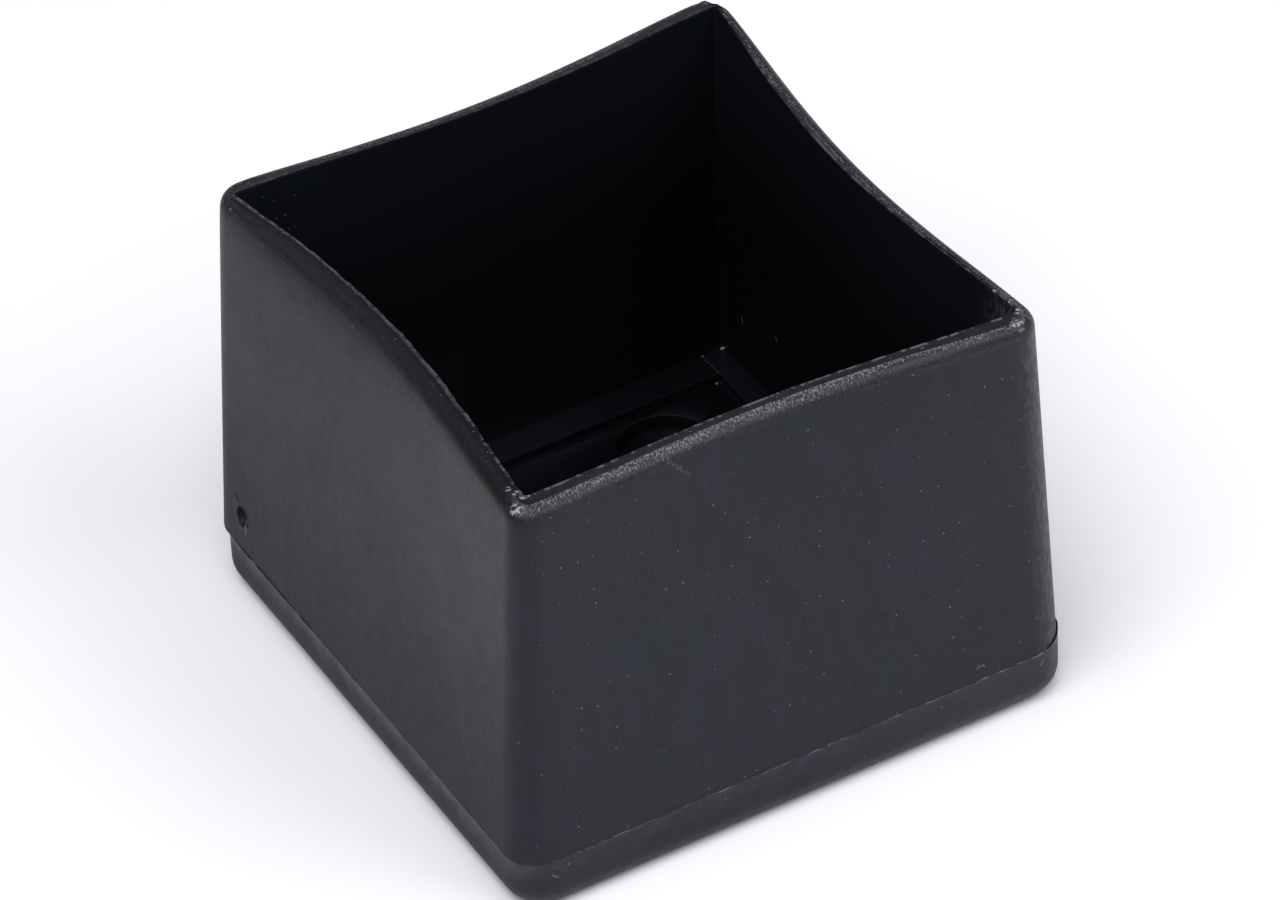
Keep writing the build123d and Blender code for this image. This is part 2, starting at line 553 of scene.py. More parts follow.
def wander(length, size, row):
    """A smooth uneven value round the cap, with swells of this size in millimetres."""
    return noise.noise(Vector((length / size, row, 0.0)))


def flash_height(length):
    """How far the flash stands out of the parting line, in millimetres."""
    broad = wander(length, 7.0, 3.1)
    fine = wander(length, 0.9, 9.7)
    # A single fin at the front right corner, and a ridge low on the left by the gate.
    fin = 0.06 * math.exp(-((length - 144.2) / 0.4) ** 2)
    ridge = 0.045 * math.exp(-((length - 56.0) / 6.5) ** 4) * (1 + fine)
    return 0.015 + 0.02 * max(broad, -0.5) + 0.025 * max(fine, -0.6) + fin + ridge


# On the back, left, front and right, and on the back again; fading out above and below.
seam_shifts = [0.0, 0.17, -0.33, 0.0, 0.0]
seam_reach = 2.4


def seam_shift(length):
    """How far the parting line lies above its nominal height, in millimetres."""
    number = min(int(length / lap), 3)
    share = max(length - number * lap - side_length, 0.0) / corner_length
    return seam_shifts[number] + (seam_shifts[number + 1] - seam_shifts[number]) * share


def peel_height(length, below):
    """How far flash that was peeled back over the band stands off it, in millimetres."""
    widest, thickest = (2.4, 0.11) if 45.0 < length < 96.0 else (0.7, 0.04)
    reach = 0.25 + widest * max(wander(length, 2.6, 1.7) + 0.08, 0.0)
    edge = 0.5 + 0.5 * wander(length, 0.7, 4.4)
    return thickest * edge * max(1 - below / reach, 0.0)


def lean_in(x, y, z, out):
    """How far the top of the left wall leans in, most towards the back, in millimetres."""
    over = max(z - lean_start, 0.0)
    over = over ** 2 / (2 * lean_bend) if over < lean_bend else over - lean_bend / 2
    lean = left_lean * (0.65 + 0.35 * math.tanh(y / 9)) * max(-out.x, 0.0)
    back_left = 3
    return lean * (1 - near_corner(x, y, foot_width / 2, back_left, lean_reach)) * over


# %% Outer skin settled
along_layer = outer.verts.layers.float.new("along")
across_layer = outer.verts.layers.float.new("across")
half = foot_width / 2
round_start = cap_height - rim_round
for vert in outer.verts:
    x, y, z = vert.co
    turned = math.asin(min(max((z - round_start) / rim_round, 0.0), 1.0))
    vert[along_layer] = length_along(x, y, half, corner_round)
    vert[across_layer] = min(z, round_start) + rim_round * turned
    out = outward(x, y, half, corner_round)
    x, y = tightened(x, y, half, corner_radius(x, y, z))
    on_band = Vector((x, y)) * band_width / foot_width + band_centre
    share = max((z - band_height) / (cap_height - band_height), 0.0)
    on_wall = settled(x, y, share, half, wall_foot, outer_mouth, rim_sag_extra, corner_round)
    step = z - band_height
    if abs(step) < 1e-3:
        further = on_band if on_band.dot(out) > on_wall.dot(out) else on_wall
        place = further + out * flash_height(vert[along_layer])
    else:
        place = on_band + out * peel_height(vert[along_layer], -step) if step < 0 else on_wall
    place = place - out * lean_in(x, y, z, out)
    inset = rim_round * (1 - math.cos(turned))
    for number, left in enumerate(round_left):
        place = place + out * inset * (1 - left) * near_corner(x, y, half, number, round_reach)
    vert.co.x, vert.co.y = place
    vert.co.z += seam_shift(vert[along_layer]) * max(1 - abs(step) / seam_reach, 0.0)

# %% Inner skin settled
def torn_edge(length, z):
    """How far the rim's inner edge is torn back or stands in, in millimetres."""
    near_rim = min(max((z - cap_height + 0.5) / 0.35, 0.0), 1.0)
    deepest = 0.11 if 44.0 < length < 95.0 else 0.0385
    tears = wander(length, 0.8, 6.2) + 0.8 * wander(length, 2.9, 8.8)
    return deepest * tears * near_rim


along_layer = inner.verts.layers.float.new("along")
across_layer = inner.verts.layers.float.new("across")
half = floor_width / 2
no_extra = dict.fromkeys(side_names, 0.0)
inner_across = 41.0
for vert in inner.verts:
    x, y, z = vert.co
    vert[along_layer] = length_along(x, y, half, inner_corner_round)
    vert[across_layer] = inner_across + cap_height - z
    if z > floor_height + 1e-3:
        share = (z - floor_height) / (cap_height - floor_height)
        place = settled(x, y, share, half, core_foot, inner_mouth, no_extra, inner_corner_round)
        place += outward(x, y, half, inner_corner_round) * torn_edge(vert[along_layer], z)
        for number, drawn in enumerate(mouth_drawn):
            place += Vector(drawn) * near_corner(x, y, half, number, drawn_reach) * share ** 2
        vert.co.x, vert.co.y = place

# %% [markdown]
# ## One moulding
#
# The inner skin is added to the outer one and the two open loops at the top are bridged,
# which makes the flat of the rim.  The result is one closed surface, as the real cap is.
# A small burr is then drawn up out of the rim near its back right corner.

# %% Joining the skins
def as_mesh(shape, name):
    """A finished shape as a mesh of its own."""
    mesh = bpy.data.meshes.new(name)
    shape.to_mesh(mesh)
    shape.free()
    return mesh


bmesh.ops.reverse_faces(inner, faces=inner.faces)
cap = outer
cap.from_mesh(as_mesh(inner, "inner_skin"))
along_layer = cap.verts.layers.float["along"]
across_layer = cap.verts.layers.float["across"]
bridge = bmesh.ops.bridge_loops(cap, edges=open_edges(cap, cap_height))
flat_edges = [edge for face in bridge["faces"] for edge in face.edges
              if abs(edge.verts[0][across_layer] - edge.verts[1][across_layer]) > 0.2]
bmesh.ops.subdivide_edges(cap, edges=list(set(flat_edges)), cuts=2)
bmesh.ops.remove_doubles(cap, verts=cap.verts, dist=1e-5)
bmesh.ops.recalc_face_normals(cap, faces=cap.faces)
burr_middle = Vector((20.9, 22.9, cap_height))
burr_height = 0.4
burr_reach = 0.6
for vert in cap.verts:
    if vert.co.z > cap_height - burr_reach and vert[across_layer] < inner_across - 0.3:
        away = (vert.co - burr_middle).length
        vert.co.z += burr_height * max(1 - away / burr_reach, 0.0)
loose = [edge for edge in cap.edges if not edge.is_manifold]
print("cap", len(cap.verts), "points", len(cap.faces), "faces,", len(loose), "open edges")
print("volume", round(cap.calc_volume() / 1000, 2), "cm3")

# %% [markdown]
# ### Skin coordinates
#
# Every face gets the length round the cap and the length up and over the wall, in metres,
# so that marks can be laid on the cap as on a sheet.  The inside floor and the underside
# are laid out flat, beside that sheet.

# %% The finished mesh
floor_sheet = Vector((100.0, 130.0))
underside_sheet = Vector((100.0, -60.0))
uv_layer = cap.loops.layers.uv.new("skin")
for face in cap.faces:
    lengths = [loop.vert[along_layer] for loop in face.loops]
    wraps = max(lengths) - min(lengths) > girth / 2
    highest = max(loop.vert.co.z for loop in face.loops)
    level = abs(face.normal.z) > 0.9 and highest < floor_height + 0.01
    sheet = floor_sheet if face.normal.z > 0 else underside_sheet
    for loop in face.loops:
        if level:
            loop[uv_layer].uv = (loop.vert.co.xy + sheet) * mm
            continue
        length = loop.vert[along_layer]
        if wraps and length < girth / 2:
            length += girth
        loop[uv_layer].uv = (length * mm, loop.vert[across_layer] * mm)
    face.smooth = len(face.verts) <= 4
sharp_angle = math.radians(35)
for edge in cap.edges:
    edge.smooth = edge.calc_face_angle(0.0) < sharp_angle
bmesh.ops.scale(cap, vec=(mm, mm, mm), verts=cap.verts)
end_cap = bpy.data.objects.new("square_end_cap", as_mesh(cap, "square_end_cap"))
bpy.context.scene.collection.objects.link(end_cap)
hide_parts("end_cap")
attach(end_cap, "root")

# %% [markdown]
# ## Materials
#
# Every node is added by one small function that sets its sockets and makes its links, and a
# few more name the steps that a finish repeats.  Patterns are laid out in millimetres, either
# in space or on the skin, where one axis runs round the cap and the other up the outside,
# over the rim and down the inside.
#
# Round the skin the back lies from 0 to 43, the left from 48 to 91, the front from 97 to
# 140 and the right from 145 to 188.  Up the skin the parting line lies at 5.5, the round of
# the rim from 37.9 to 39.7 and its flat from there to 41.  The inside runs on from 41 down
# to 73.5, and the inside floor lies beyond 100.

# %% Functions that add nodes
def add(tree, kind, settings=None, **sockets):
    """Add a node, set its properties, and set or link its input sockets by name."""
    node = tree.nodes.new(kind)
    for name, value in (settings or {}).items():
        setattr(node, name, value)
    for name, value in sockets.items():
        socket = node.inputs[int(name[1:]) if name[1:].isdigit() else name.replace("_", " ")]
        if isinstance(value, bpy.types.NodeSocket):
            tree.links.new(value, socket)
        else:
            socket.default_value = value
    return node


def new_material(name):
    """An empty material with a surface shader and its tree."""
    material = bpy.data.materials.new(name)
    material.use_nodes = True
    tree = material.node_tree
    return material, tree, tree.nodes["Principled BSDF"]


def calc(tree, operation, *values):
    """The result of a maths node."""
    sockets = {f"i{number}": value for number, value in enumerate(values)}
    return add(tree, "ShaderNodeMath", {"operation": operation}, **sockets).outputs[0]


def vector_calc(tree, operation, first, second):
    """The result of a vector maths node, a number for a dot product or a distance."""
    node = add(tree, "ShaderNodeVectorMath", {"operation": operation}, i0=first, i1=second)
    return node.outputs["Value" if operation in ("DOT_PRODUCT", "DISTANCE") else "Vector"]


def scaled(tree, value, factor, offset):
    """The value times a factor, plus an offset.  Each of them may vary."""
    return calc(tree, "MULTIPLY_ADD", value, factor, offset)


def product(tree, *values):
    """All the values multiplied."""
    result = values[0]
    for value in values[1:]:
        result = calc(tree, "MULTIPLY", result, value)
    return result


def strongest(tree, *masks):
    """The largest of the masks at each place."""
    result = masks[0]
    for mask in masks[1:]:
        result = calc(tree, "MAXIMUM", result, mask)
    return result


def rise(tree, value, start, end, top=1.0):
    """0 up to start, rising smoothly to the top at end.  With end below start it falls."""
    return add(tree, "ShaderNodeMapRange", {"interpolation_type": "SMOOTHSTEP"},
               i0=value, i1=start, i2=end, i3=0.0, i4=top).outputs["Result"]


def between(tree, value, low, full_from, full_to, high):
    """1 from full_from to full_to, fading smoothly to 0 at low and at high."""
    return product(tree, rise(tree, value, low, full_from), rise(tree, value, high, full_to))


def cloud(tree, place, sizes, detail=2.0):
    """Noise from 0 to 1 whose blotches have these sizes, in millimetres."""
    scale = [1 / size for size in sizes]
    in_blotches = add(tree, "ShaderNodeMapping", Vector=place, Scale=scale).outputs[0]
    node = add(tree, "ShaderNodeTexNoise", Vector=in_blotches, Scale=1.0, Detail=detail)
    return node.outputs[0]


def by_side(tree, length, back, left, front, right):
    """A different value for each side of the cap, blending round the corners."""
    ramp_length = 200.0
    node = add(tree, "ShaderNodeValToRGB", Fac=calc(tree, "DIVIDE", length, ramp_length))
    stops = []
    for number, value in enumerate((back, left, front, right)):
        stops += [(number * lap, value), (number * lap + side_length, value)]
    stops.append((girth, back))
    elements = node.color_ramp.elements
    while len(elements) < len(stops):
        elements.new(0.5)
    for element, (position, value) in zip(elements, stops):
        element.position = position / ramp_length
        element.color = (value, value, value, 1)
    return node.outputs[0]


def blend(tree, share, first, second):
    """A mix of two colours."""
    node = add(tree, "ShaderNodeMix", {"data_type": "RGBA"}, i0=share, i6=first, i7=second)
    return node.outputs[2]


def specks(tree, skin, spacing, smallest, largest, rarity):
    """Small round specks, one at most in each square of the skin."""
    cells = add(
        tree, "ShaderNodeTexVoronoi", {"voronoi_dimensions": "2D"}, Vector=skin,
        Scale=1 / spacing,
    )
    chance = add(tree, "ShaderNodeSeparateColor", Color=cells.outputs["Color"]).outputs
    size = scaled(tree, chance[0], (largest - smallest) / spacing, smallest / spacing)
    dots = calc(tree, "LESS_THAN", calc(tree, "SUBTRACT", cells.outputs["Distance"], size), 0.0)
    chosen = calc(tree, "GREATER_THAN", chance[1], rarity)
    return product(tree, dots, chosen, rise(tree, chance[2], -0.35, 1.0))


def stroke(tree, skin, start, end, width):
    """1 along a straight stroke between two places on the skin, fading at its sides."""
    whole = Vector((*end, 0)) - Vector((*start, 0))
    from_start = vector_calc(tree, "SUBTRACT", skin, (*start, 0))
    share = vector_calc(tree, "DOT_PRODUCT", from_start, whole / whole.length_squared)
    share = calc(tree, "MINIMUM", calc(tree, "MAXIMUM", share, 0.0), 1.0)
    nearest = add(tree, "ShaderNodeCombineXYZ", X=calc(tree, "MULTIPLY", share, whole.x),
                  Y=calc(tree, "MULTIPLY", share, whole.y)).outputs[0]
    return rise(tree, vector_calc(tree, "DISTANCE", from_start, nearest), width, width * 0.45)


# %% [markdown]
# ## Soft black plastic
#
# The cap is soft PVC, black all through.  The outside came off a finely matted steel mould:
# a satin skin, slightly clouded, with shallow dents that run up the sides.  Months in a bin
# have left a bluish bloom and pale dust on it, and rubbed the outer edge of the rim to a
# frosted strip of short scratches that stops sharply at the flat of the rim.  The inside was
# formed by a smoother core and has stayed cleaner, so it looks almost wholly black; painted
# shade makes it darker still away from the mouth.

# %% Where things are on the skin
black_plastic, tree, shader = new_material("soft_pvc_moulded_satin_black")
uv = add(tree, "ShaderNodeUVMap", {"uv_map": "skin"}).outputs[0]
skin = vector_calc(tree, "MULTIPLY", uv, (1000, 1000, 0))
place = add(tree, "ShaderNodeTexCoord").outputs["Object"]
place = vector_calc(tree, "MULTIPLY", place, (1000, 1000, 1000))
length, across, _ = add(tree, "ShaderNodeSeparateXYZ", Vector=skin).outputs
outside = rise(tree, across, 41.15, 40.95)
wobble = add(tree, "ShaderNodeTexNoise", Vector=skin, Scale=1.4, Detail=2.0).outputs["Color"]
wobble = vector_calc(tree, "MULTIPLY", wobble, (0.35, 0.35, 0))
ragged_skin = vector_calc(tree, "ADD", skin, wobble)
ragged_across = add(tree, "ShaderNodeSeparateXYZ", Vector=ragged_skin).outputs[1]
print("skin runs", round(girth, 1), "mm round the cap")

# %% Bloom and clouding
clouds = cloud(tree, place, (5.5, 5.5, 5.5), 3.0)
tints = cloud(tree, place, (4.5, 4.5, 4.5), 3.0)
runs = cloud(tree, place, (1.0, 1.0, 5.0), 2.0)
mottle = rise(tree, cloud(tree, place, (0.9, 0.9, 1.1), 3.0), 0.3, 0.7)
slanted = add(tree, "ShaderNodeMapping", Vector=skin, Rotation=(0, 0, math.radians(-18))).outputs[0]
streaks = rise(tree, cloud(tree, slanted, (1.6, 9.0, 1.0), 2.0), 0.35, 0.65)
bloom = scaled(tree, rise(tree, clouds, 0.3, 0.7), 0.3, 0.2)
bloom = scaled(tree, rise(tree, runs, 0.3, 0.7), 0.2, bloom)
bloom = scaled(tree, mottle, 0.3, bloom)
bloom = scaled(tree, streaks, 0.25, bloom)
# The bloom is thin on the rim.  On the left it ends lower down, which paints shade on the lower
# round of the rim there.
bloom_fade_and_shade = calc(tree, "ADD", across, by_side(tree, length, 0.0, 0.9, 0.0, 0.0))
bloom_fade_and_shade = rise(tree, bloom_fade_and_shade, 39.0, 37.6)
bloom = product(tree, bloom, scaled(tree, bloom_fade_and_shade, 0.62, 0.12), outside)
bloom = product(tree, bloom, by_side(tree, length, 1.0, 1.15, 1.15, 1.0))
bluer = product(tree, rise(tree, tints, 0.38, 0.62), by_side(tree, length, 1.0, 0.4, 1.0, 1.0))
bloom_colour = blend(tree, bluer, linear("#1a1325"), linear("#101823"))
colour = blend(tree, bloom, linear("#030304"), bloom_colour)
# Painted shade: the inside is painted darker away from the mouth; near the mouth the right wall is
# painted lighter than the others.
inside_painted_light = rise(tree, across, 60.0, 41.0)
inside_painted_light = product(tree, inside_painted_light, by_side(tree, length, 0.7, 0.7, 0.7, 1.0))
inside_colour = blend(tree, inside_painted_light, linear("#020406"), linear("#12161a"))
on_floor = rise(tree, across, 100.0, 101.0)
# A lighter, purplish tone on the ledge of the inside floor, beyond the core's insert line.
ledge_past_insert_line = product(tree, on_floor, rise(tree, length, 117.0, 117.15), 0.5)
inside_colour = blend(tree, ledge_past_insert_line, inside_colour, linear("#100e13"))
colour = blend(tree, outside, inside_colour, colour)

# %% Dust
dust_amount = by_side(tree, length, 0.5, 0.35, 1.0, 0.7)
dust = specks(tree, ragged_skin, 1.6, 0.015, 0.075, 0.62)
fine_dust = specks(tree, skin, 0.8, 0.02, 0.06, 0.6)
drifts = rise(tree, cloud(tree, skin, (6.0, 4.0, 1.0), 2.0), 0.42, 0.6)
fine_dust = product(tree, fine_dust, drifts, 0.35)
crumbs = specks(tree, ragged_skin, 0.75, 0.05, 0.12, 0.5)
corner_crumbs = product(
    tree, crumbs, between(tree, length, 43.5, 44.5, 48.0, 49.5),
    between(tree, across, 36.0, 36.8, 38.6, 39.4), 0.26,
)
mouth_crumbs = product(
    tree, crumbs, between(tree, length, 36.5, 38.5, 44.0, 45.0),
    between(tree, across, 41.8, 42.4, 45.0, 48.0), 0.09,
)
dust = product(tree, calc(tree, "MAXIMUM", dust, fine_dust), dust_amount, outside, 0.4)
dust = strongest(tree, dust, corner_crumbs, mouth_crumbs)

# %% Small dents and rub marks
dinged = rise(tree, cloud(tree, skin, (9.0, 7.0, 1.0), 2.0), 0.38, 0.58)
dings = rise(tree, cloud(tree, slanted, (0.4, 0.9, 1.0), 1.0), 0.6, 0.72)
dings = product(tree, dings, dinged, outside, by_side(tree, length, 0.6, 0.4, 1.0, 1.0))
rubs = rise(tree, cloud(tree, slanted, (0.16, 0.6, 1.0), 2.0), 0.66, 0.74)
rubs = product(tree, rubs, dinged, outside, by_side(tree, length, 0.6, 0.2, 1.0, 1.0), 0.02)

# %% [markdown]
# ### Rim
#
# The frost is a hatch of short scratches, packed closer towards the rim's edge.  Below it a
# pale haze is painted light, which lifts the darker reflection on the lower round of the rim.
# On the left there is hardly any frost: painted light lightens the rim's round there, and its
# inner edge is torn, which shows as a thin pale line with small dark tears.  All round, a
# broken pale line along the inner edge is a painted highlight.

# %% Frosted strip along the rim
frost_amount = by_side(tree, length, 0.5, 0.05, 0.9, 0.6)
hatch = cloud(tree, ragged_skin, (0.12, 0.3, 1.0), 3.0)
patches = cloud(tree, skin, (3.5, 1.2, 1.0), 2.0)
lower_edge = scaled(tree, patches, 1.1, 37.6)
lower_edge = calc(tree, "ADD", lower_edge, rise(tree, length, 122.0, 136.0, 0.3))
packed = rise(tree, calc(tree, "SUBTRACT", across, lower_edge), -0.4, 1.3)
frost = rise(tree, scaled(tree, packed, 0.3, hatch), 0.73, 0.92)
frost = scaled(tree, frost, 0.85, product(tree, packed, packed, 0.1))
frost = product(tree, frost, rise(tree, across, 39.8, 39.6), frost_amount, 0.45)
# Painted light: a pale haze below the frost lifts the darker reflection on the lower round of the
# rim.
haze_light_start = calc(tree, "SUBTRACT", 37.75, rise(tree, length, 122.0, 136.0, 0.1))
haze_painted_light = rise(tree, calc(tree, "SUBTRACT", across, haze_light_start), 0.0, 0.6)
haze_painted_light = product(
    tree, haze_painted_light, scaled(tree, rise(tree, hatch, 0.4, 0.6), 1.0, 0.5),
    rise(tree, across, 39.6, 38.8), by_side(tree, length, 0.01, 0.0, 0.034, 0.05),
)

# %% Rim edges
breaks = rise(tree, cloud(tree, skin, (0.7, 9.0, 1.0), 4.0), 0.44, 0.6)
# Painted highlight: a thin, broken pale line along the inner edge of the rim.
inner_edge_highlight = product(
    tree, rise(tree, ragged_across, 41.1, 41.16), rise(tree, across, 41.13, 41.06),
    breaks, by_side(tree, length, 0.15, 0.35, 0.5, 0.3), 0.42,
)
rim_dust = product(
    tree, between(tree, across, 39.5, 39.8, 41.0, 41.15),
    by_side(tree, length, 0.036, 0.003, 0.022, 0.03), scaled(tree, patches, 1.6, 0.2),
)
nicks = specks(tree, skin, 0.9, 0.04, 0.12, 0.86)
nicks = product(tree, nicks, rise(tree, across, 39.5, 40.2), outside, 0.5)

# %% Torn rim and painted light on the left
torn = rise(tree, cloud(tree, ragged_skin, (0.5, 0.25, 1.0), 3.0), 0.4, 0.62)
torn = product(
    tree, scaled(tree, torn, 0.7, 0.3), rise(tree, ragged_across, 40.62, 40.75),
    rise(tree, across, 41.15, 41.05), by_side(tree, length, 0.0, 1.0, 0.0, 0.0), 0.1,
    rise(tree, length, 84.0, 78.0),
)
# Painted light: the round of the rim on the left is lightened, along most of that side.
left_round_painted_light = rise(tree, cloud(tree, ragged_skin, (1.6, 0.3, 1.0), 3.0), 0.3, 0.6)
left_round_painted_light = product(
    tree, scaled(tree, left_round_painted_light, 0.6, 0.4), between(tree, ragged_across, 38.0, 38.7, 38.9, 40.0),
    between(tree, length, 45.0, 48.5, 66.0, 92.0), 0.022,
)
tears = rise(tree, cloud(tree, ragged_skin, (1.2, 0.12, 1.0), 3.0), 0.5, 0.58)
tears = product(
    tree, tears, between(tree, across, 39.0, 39.1, 39.5, 39.6),
    between(tree, length, 49.0, 51.0, 61.0, 64.0), 0.8,
)

# %% Flash along the parting line, with painted highlight and shade
flash_breaks = rise(tree, cloud(tree, skin, (0.9, 9.0, 1.0), 4.0), 0.4, 0.65)
# Painted highlight: a broken pale line just above the parting line, where the flash and the edge of
# the band catch the light.
flash_highlight = product(
    tree, between(tree, ragged_across, 5.58, 5.64, 5.7, 5.76),
    scaled(tree, flash_breaks, 0.85, 0.15), by_side(tree, length, 0.2, 0.0, 0.17, 0.22),
    calc(tree, "ADD", 0.8, rise(tree, length, 115.0, 138.0, 0.6)),
)
line_shade = product(
    tree, between(tree, across, 5.36, 5.42, 5.52, 5.56), flash_breaks,
    by_side(tree, length, 0.0, 0.9, 0.0, 0.0),
)
# Pale patches on the band just below the parting line: flash peeled back over the band, and partly
# painted light, which makes the top of the band lighter than its foot.
peeled_and_painted_light = rise(tree, cloud(tree, ragged_skin, (2.2, 1.4, 1.0), 3.0), 0.46, 0.53)
peeled_and_painted_light = product(
    tree, scaled(tree, peeled_and_painted_light, 0.75, 0.25), between(tree, across, 2.2, 5.0, 5.44, 5.5),
    by_side(tree, length, 0.2, 1.0, 0.25, 0.5), 0.06,
)
band_dust = between(tree, length, 114.0, 140.0, 144.0, 150.0)
band_dust = product(tree, band_dust, rise(tree, across, 5.5, 5.4), 0.018)

# %% [markdown]
# ### Single marks
#
# A few marks are placed one by one, in millimetres round and up the skin: a scuff under the
# front rim, a small bent scratch near the right corner of the foot, a hooked one by the
# gate and the gate's torn tail.  Two corners of the rim are rubbed to a whitish gloss, and
# a few edges deep inside catch the light.  The front right corner is chafed along its whole
# height, inside and out, and the same pale band paints a sheen where it is seen edge-on.

# %% Scuff and scratches
scuff = stroke(tree, ragged_skin, (108.0, 38.6), (109.9, 36.8), 0.26)
scuff = product(tree, scuff, 0.16, rise(tree, hatch, 0.48, 0.64))
# Start, end and width of each stroke.
scratch_strokes = [
    ((134.7, 6.75), (134.8, 6.95), 0.07),
    ((134.8, 6.95), (135.3, 6.95), 0.07),
    ((135.3, 6.95), (135.4, 6.75), 0.07),
    ((96.1, 4.2), (96.5, 3.8), 0.10),
    ((140.3, 4.4), (140.6, 4.8), 0.10),
    ((51.55, 9.5), (51.45, 8.3), 0.11),
    ((51.45, 8.3), (51.2, 7.7), 0.11),
]
scratches = strongest(tree, *(stroke(tree, ragged_skin, *each) for each in scratch_strokes))
scratches = calc(tree, "MULTIPLY", scratches, 0.22)
gate_tail = stroke(tree, ragged_skin, (49.75, 10.9), (50.15, 10.45), 0.16)
# Painted shade: the gate's pit is darkened.
pit_shade = rise(tree, vector_calc(tree, "DISTANCE", place, (-24.2, 19.1, 9.05)), 0.95, 0.72)


# %% Rubbed corners and glints
def rubbed(middle, size, broken):
    """A patch of white specks round a point of the rim, sparser with a higher broken."""
    near = rise(tree, vector_calc(tree, "DISTANCE", place, middle), size, size * 0.45)
    chips = rise(tree, cloud(tree, place, (0.3, 0.3, 0.3), 2.0), broken, broken + 0.16)
    return product(tree, near, chips, 0.65)


rubbed_patches = [
    ((20.85, -24.15, 38.85), 0.75, 0.43),
    ((21.6, -22.9, 38.95), 0.45, 0.42),
    ((21.75, -21.6, 39.0), 0.22, 0.4),
    ((21.4, -19.9, 39.0), 0.26, 0.4),
    ((-21.85, -21.95, 38.9), 0.75, 0.42),
    ((-21.3, -19.7, 39.0), 0.3, 0.42),
    ((-21.1, -20.4, 39.0), 0.35, 0.44),
    ((-20.85, -21.1, 39.0), 0.35, 0.44),
    ((-20.45, -21.35, 39.0), 0.3, 0.42),
]
corners = strongest(tree, *(rubbed(*each) for each in rubbed_patches))
# Where each glint lies, its start, end and width, and how bright it is.
glint_strokes = [
    (skin, (118.9, 148.9), (119.15, 148.95), 0.16, 0.4),
    (skin, (116.8, 146.2), (116.85, 146.25), 0.14, 0.25),
    (skin, (117.1, 148.95), (117.12, 148.9), 0.12, 0.12),
    (skin, (117.1, 148.9), (117.15, 146.0), 0.07, 0.025),
    (ragged_skin, (184.95, 69.1), (185.05, 68.85), 0.18, 0.12),
    (ragged_skin, (179.05, 67.3), (179.15, 67.05), 0.16, 0.12),
]
glints = strongest(tree, *(
    product(tree, stroke(tree, *where), bright) for *where, bright in glint_strokes
))

# %% Chafed front right corner, with painted sheen
corner_chafe = rise(tree, cloud(tree, ragged_skin, (0.4, 1.2, 1.0), 3.0), 0.45, 0.6)
# A pale mottled band up the front right corner: partly chafing, partly painted sheen where the
# corner is seen edge-on.
corner_rub_and_sheen = product(
    tree, between(tree, length, 139.5, 143.5, 145.0, 150.0),
    scaled(tree, corner_chafe, 0.8, 0.2), 0.15,
)
foot_chafe = rise(tree, cloud(tree, ragged_skin, (0.5, 0.4, 1.0), 3.0), 0.45, 0.62)
foot_rub = product(
    tree, between(tree, length, 132.0, 142.0, 145.0, 152.0), rise(tree, across, 2.6, 1.2),
    foot_chafe, 0.12,
)

# %% [markdown]
# ### The plastic itself
#
# All pale marks lighten one colour and all dark ones darken it, since dust and scratched
# plastic look alike; the painted highlights, painted light and painted shade among them are
# mixed in the same way.  The sheen is that of a fine matt mould, duller low down and on the
# frost.  The relief is shallow: matting, dents, scratches and grooves drawn along the rim,
# all a few hundredths of a millimetre at most.

# %% Colour and sheen
pale = strongest(
    tree, dust, rubs, frost, haze_painted_light, inner_edge_highlight, rim_dust, nicks, flash_highlight, peeled_and_painted_light, band_dust,
    scuff, scratches, corners, corner_rub_and_sheen, foot_rub, torn, left_round_painted_light, glints,
)
colour = blend(tree, pale, colour, linear("#b4b4bd"))
dark = strongest(tree, gate_tail, line_shade, pit_shade, tears)
colour = blend(tree, dark, colour, linear("#020203"))
tree.links.new(colour, shader.inputs["Base Color"])
shader.inputs["IOR"].default_value = 1.45
shader.inputs["Specular IOR Level"].default_value = 0.38
shader.inputs["Specular Tint"].default_value = (0.97, 0.95, 1.0, 1.0)
low_down = strongest(tree, rise(tree, across, 5.5, 5.6), rise(tree, across, 5.2, 3.0))
low_down = product(tree, low_down, rise(tree, across, 32.0, 3.0))
low_down = product(tree, low_down, by_side(tree, length, 0.08, 0.15, 0.08, 0.08))
roughness = calc(tree, "ADD", scaled(tree, clouds, 0.12, 0.41), low_down)
roughness = scaled(tree, dark, 0.4, roughness)
roughness = scaled(tree, mottle, 0.05, calc(tree, "SUBTRACT", roughness, 0.025))
roughness = scaled(tree, frost, 0.3, roughness)
inside_roughness = scaled(tree, on_floor, -0.15, 0.42)
roughness = add(
    tree, "ShaderNodeMix", {"data_type": "FLOAT"},
    i0=outside, i2=inside_roughness, i3=roughness,
).outputs[0]
tree.links.new(roughness, shader.inputs["Roughness"])

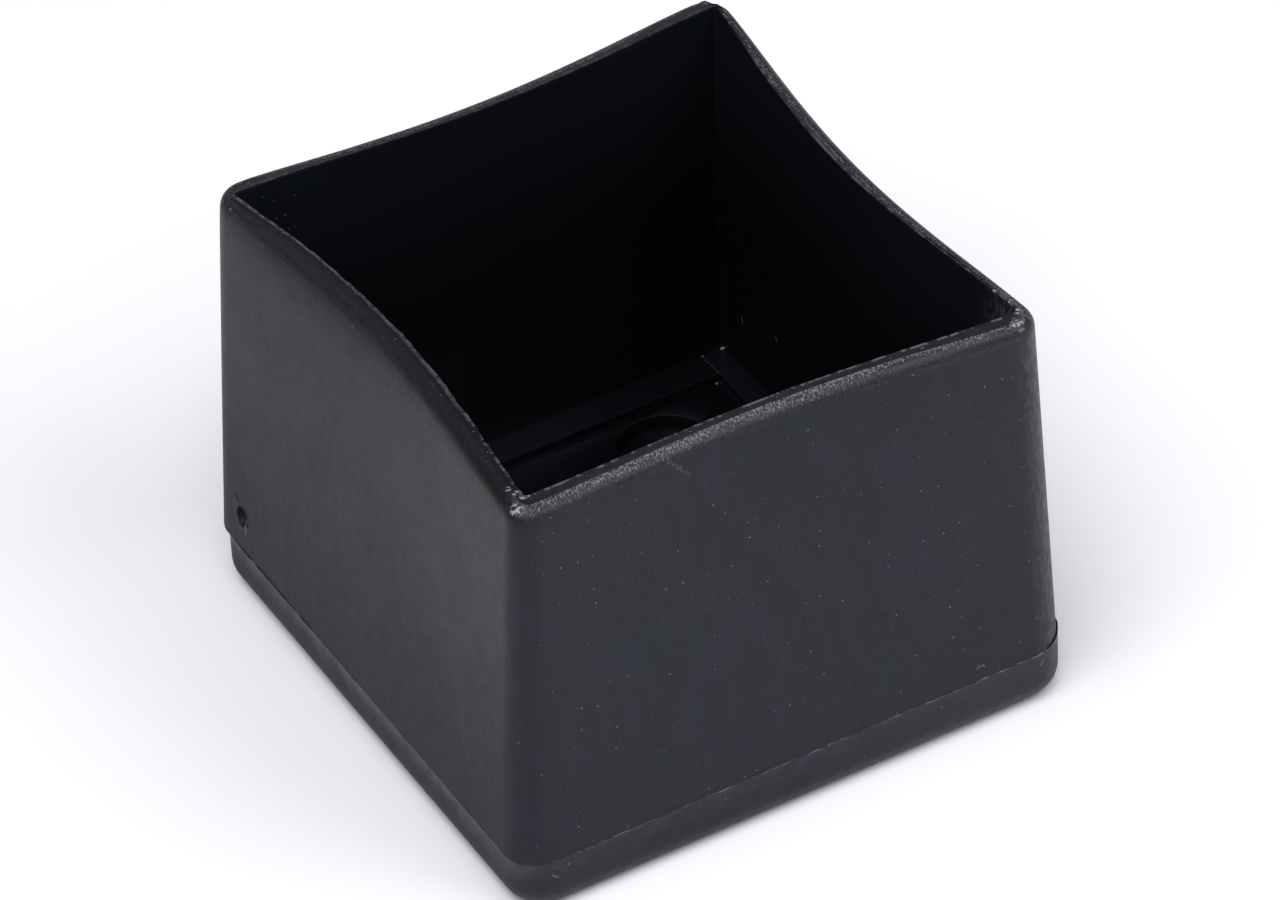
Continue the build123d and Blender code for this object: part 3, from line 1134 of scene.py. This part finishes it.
# %% Relief
matting = product(tree, cloud(tree, place, (0.22, 0.22, 0.22), 2.0), 0.0035)
dents = product(
    tree, cloud(tree, place, (1.3, 1.3, 3.2), 1.0),
    by_side(tree, length, 0.008, 0.006, 0.012, 0.008), outside,
)
scratched = product(tree, frost, 0.025)
drawn = product(
    tree, rise(tree, ragged_across, 36.6, 37.4), rise(tree, across, 41.1, 40.6),
    by_side(tree, length, 0.1, 1.0, 0.0, 0.2), rise(tree, length, 92.0, 84.0), 0.035,
    cloud(tree, ragged_skin, (5.0, 0.16, 1.0), 3.0),
)
relief = calc(tree, "ADD", calc(tree, "ADD", matting, dents), calc(tree, "ADD", scratched, drawn))
relief = scaled(tree, dings, -0.03, relief)
bump = add(tree, "ShaderNodeBump", Height=relief, Distance=mm)
tree.links.new(bump.outputs[0], shader.inputs["Normal"])
end_cap.data.materials.append(black_plastic)
print("plastic made of", len(tree.nodes), "nodes")

# %% [markdown]
# ## Stage and light
#
# A pale floor and a large soft light, as in a small product studio.  Satin black plastic
# shows mostly what it reflects, so the pale floor itself lights the walls.

# %% Stage
floor_mesh = bpy.data.meshes.new("floor")
floor_shape = bmesh.new()
bmesh.ops.create_grid(floor_shape, x_segments=1, y_segments=1, size=4.0)
floor_shape.to_mesh(floor_mesh)
floor_shape.free()
floor = bpy.data.objects.new("floor", floor_mesh)
bpy.context.scene.collection.objects.link(floor)
paper, _, paper_shader = new_material("paper_matt_white")
paper_shader.inputs["Base Color"].default_value = linear("#f9f9f9")
paper_shader.inputs["Roughness"].default_value = 0.8
floor.data.materials.append(paper)


# %% Lights
def soft_box(name, direction, distance, width, height, watts):
    """A rectangular, faintly blue soft light that looks at the cap from a direction."""
    data = bpy.data.lights.new(name, "AREA")
    data.shape = "RECTANGLE"
    data.size, data.size_y = width, height
    data.energy = watts
    data.color = linear("#f7f7ff")[:3]
    light = bpy.data.objects.new(name, data)
    bpy.context.scene.collection.objects.link(light)
    away = Vector(direction).normalized()
    middle_of_cap = Vector((0.0, 0.0, 0.02))
    turned = away.to_track_quat("Z", "Y").to_matrix().to_4x4()
    light.matrix_world = Matrix.Translation(middle_of_cap + away * distance) @ turned
    return light


soft_box("front_right_box", (0.36, -0.50, 0.75), 0.9, 0.45, 0.45, 3.0)
soft_box("overhead_box", (-0.33, -0.22, 0.95), 1.2, 0.9, 0.9, 14.0)

world = bpy.data.worlds.new("studio")
world.use_nodes = True
world.node_tree.nodes["Background"].inputs["Color"].default_value = linear("#ffffff")
world.node_tree.nodes["Background"].inputs["Strength"].default_value = 0.2
bpy.context.scene.world = world
bpy.context.scene.view_settings.view_transform = "Standard"
